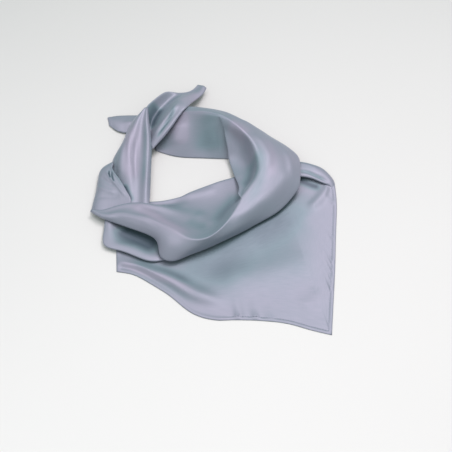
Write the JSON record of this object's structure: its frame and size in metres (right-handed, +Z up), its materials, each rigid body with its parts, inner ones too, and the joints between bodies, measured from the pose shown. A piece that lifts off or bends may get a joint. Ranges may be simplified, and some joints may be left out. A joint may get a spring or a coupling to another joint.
{
  "type": "satin neck scarf",
  "caption": "Plain silver-lilac satin neck scarf laid on a table in a loose folded ring, ends crossed at the back left and one hemmed corner spread out at the front right",
  "frame": {"origin": "on the table, under the middle of the scarf's bounding box", "axes": "+X to the right and +Y away from the viewer as it lies in the picture, +Z up off the table"},
  "size_m": [0.3013, 0.3674, 0.041],
  "materials": {
    "point_panel": "satin",
    "edge_fold": "satin",
    "hem_lower": "satin",
    "hem_right": "satin",
    "panel_roll": "satin",
    "under_layer": "satin",
    "front_band": "satin",
    "right_band": "satin",
    "back_roll": "satin",
    "back_wall": "satin",
    "left_band": "satin",
    "corner_layer": "satin",
    "upper_tail": "satin",
    "left_tail": "satin",
    "hem_left_tail": "satin",
    "folds_front": "satin",
    "folds_right": "satin",
    "folds_back": "satin",
    "folds_left": "satin",
    "folds_corner": "satin"
  },
  "bodies": {
    "root": {"point_panel": "point_panel", "edge_fold": "edge_fold", "hem_lower": "hem_lower", "hem_right": "hem_right", "panel_roll": "panel_roll", "under_layer": "under_layer", "front_band": "front_band", "right_band": "right_band", "back_roll": "back_roll", "back_wall": "back_wall", "left_band": "left_band", "corner_layer": "corner_layer", "upper_tail": "upper_tail", "left_tail": "left_tail", "hem_left_tail": "hem_left_tail", "folds_front": "folds_front", "folds_right": "folds_right", "folds_back": "folds_back", "folds_left": "folds_left", "folds_corner": "folds_corner"}
  },
  "joints": []
}
